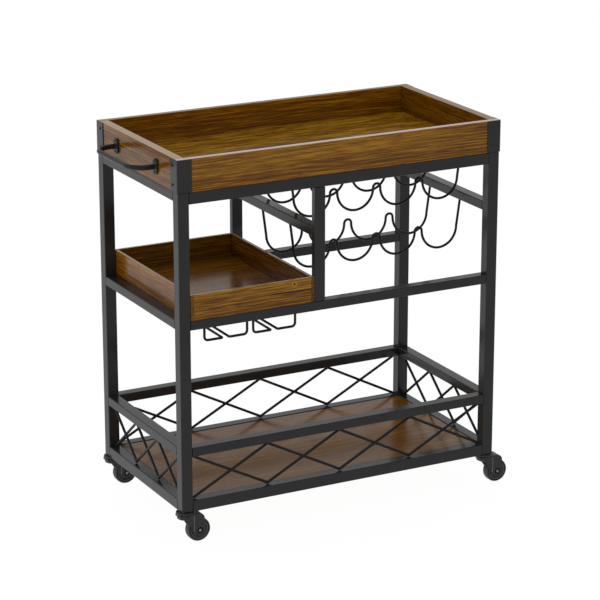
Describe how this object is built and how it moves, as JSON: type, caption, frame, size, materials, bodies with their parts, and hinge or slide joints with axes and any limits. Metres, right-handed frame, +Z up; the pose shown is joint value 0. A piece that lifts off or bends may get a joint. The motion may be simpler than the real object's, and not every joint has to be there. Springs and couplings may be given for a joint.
{
  "type": "bar cart",
  "caption": "Rolling bar cart: tube frame on casters, lift-off serving tray with handles, pull-out tray, wine cradles, stem racks and a fenced shelf.",
  "frame": {"origin": "on the floor under the middle of the cart, centre of its bounding box", "axes": "+X along the cart's length towards the end without the small tray, +Y from the front to the back, +Z up"},
  "size_m": [0.8768, 0.4154, 0.83],
  "materials": {
    "frame_steel": "satin black powder coat on square tube",
    "bracket_steel": "satin black powder coat on folded sheet",
    "handle_steel": "satin black bar",
    "lattice_rod": "black coated rod",
    "rack_wire": "black coated wire",
    "walnut": "rustic walnut laminate board, satin",
    "caster_body": "moulded black plastic",
    "wheel_tread": "black rubber tread"
  },
  "bodies": {
    "frame": {"post_front_left": "frame_steel", "post_front_right": "frame_steel", "post_back_left": "frame_steel", "post_back_right": "frame_steel", "top_rail_front": "frame_steel", "top_rail_back": "frame_steel", "mid_rail_front": "frame_steel", "mid_rail_back": "frame_steel", "guard_rail_front": "frame_steel", "guard_rail_back": "frame_steel", "bottom_rail_front": "frame_steel", "bottom_rail_back": "frame_steel", "top_rail_left": "frame_steel", "top_rail_right": "frame_steel", "guard_rail_left": "frame_steel", "guard_rail_right": "frame_steel", "bottom_rail_left": "frame_steel", "bottom_rail_right": "frame_steel", "mid_rail_left": "frame_steel", "top_cross_rail": "frame_steel", "wine_rail_left": "frame_steel", "wine_rail_right": "frame_steel", "divider_front": "frame_steel", "divider_back": "frame_steel", "lattice_front": "lattice_rod", "lattice_back": "lattice_rod", "lattice_left": "lattice_rod", "lattice_right": "lattice_rod", "bottom_shelf": "walnut", "wine_wire_lower_front": "rack_wire", "wine_wire_lower_back": "rack_wire", "wine_wire_upper_front": "rack_wire", "wine_wire_upper_back": "rack_wire", "stem_rack_left": "rack_wire", "stem_rack_right": "rack_wire", "caster_mount_front_left": "caster_body", "caster_mount_front_right": "caster_body", "caster_mount_back_left": "caster_body", "caster_mount_back_right": "caster_body"},
    "top_tray": {"tray_wall_front": "walnut", "tray_wall_back": "walnut", "tray_wall_left": "walnut", "tray_wall_right": "walnut", "tray_floor": "walnut", "corner_bracket_front_left": "bracket_steel", "corner_bracket_front_right": "bracket_steel", "corner_bracket_back_left": "bracket_steel", "corner_bracket_back_right": "bracket_steel", "handle_left": "handle_steel", "handle_right": "handle_steel"},
    "small_tray": {"small_tray_walls": "walnut", "small_tray_floor": "walnut"},
    "caster_front_left": {"caster_fork_front_left": "caster_body"},
    "wheel_front_left": {"caster_wheel_front_left": "wheel_tread"},
    "caster_front_right": {"caster_fork_front_right": "caster_body"},
    "wheel_front_right": {"caster_wheel_front_right": "wheel_tread"},
    "caster_back_left": {"caster_fork_back_left": "caster_body"},
    "wheel_back_left": {"caster_wheel_back_left": "wheel_tread"},
    "caster_back_right": {"caster_fork_back_right": "caster_body"},
    "wheel_back_right": {"caster_wheel_back_right": "wheel_tread"}
  },
  "joints": [
    {"name": "top_tray_lift", "type": "slide", "parent": "frame", "child": "top_tray", "axis": [0, 0, 1], "range_m": [0, 0.15]},
    {"name": "small_tray_slide", "type": "slide", "parent": "frame", "child": "small_tray", "axis": [0, -1, 0], "range_m": [0, 0.39]},
    {"name": "swivel_front_left", "type": "hinge", "parent": "frame", "child": "caster_front_left", "pos_m": [-0.3675, -0.1875, 0.07], "axis": [0, 0, 1], "continuous": true},
    {"name": "wheel_spin_front_left", "type": "hinge", "parent": "caster_front_left", "child": "wheel_front_left", "pos_m": [-0.3395, -0.1875, 0.026], "axis": [0, 1, 0], "continuous": true},
    {"name": "swivel_front_right", "type": "hinge", "parent": "frame", "child": "caster_front_right", "pos_m": [0.3675, -0.1875, 0.07], "axis": [0, 0, 1], "continuous": true},
    {"name": "wheel_spin_front_right", "type": "hinge", "parent": "caster_front_right", "child": "wheel_front_right", "pos_m": [0.3955, -0.1875, 0.026], "axis": [0, 1, 0], "continuous": true},
    {"name": "swivel_back_left", "type": "hinge", "parent": "frame", "child": "caster_back_left", "pos_m": [-0.3675, 0.1875, 0.07], "axis": [0, 0, 1], "continuous": true},
    {"name": "wheel_spin_back_left", "type": "hinge", "parent": "caster_back_left", "child": "wheel_back_left", "pos_m": [-0.3395, 0.1875, 0.026], "axis": [0, 1, 0], "continuous": true},
    {"name": "swivel_back_right", "type": "hinge", "parent": "frame", "child": "caster_back_right", "pos_m": [0.3675, 0.1875, 0.07], "axis": [0, 0, 1], "continuous": true},
    {"name": "wheel_spin_back_right", "type": "hinge", "parent": "caster_back_right", "child": "wheel_back_right", "pos_m": [0.3955, 0.1875, 0.026], "axis": [0, 1, 0], "continuous": true}
  ]
}
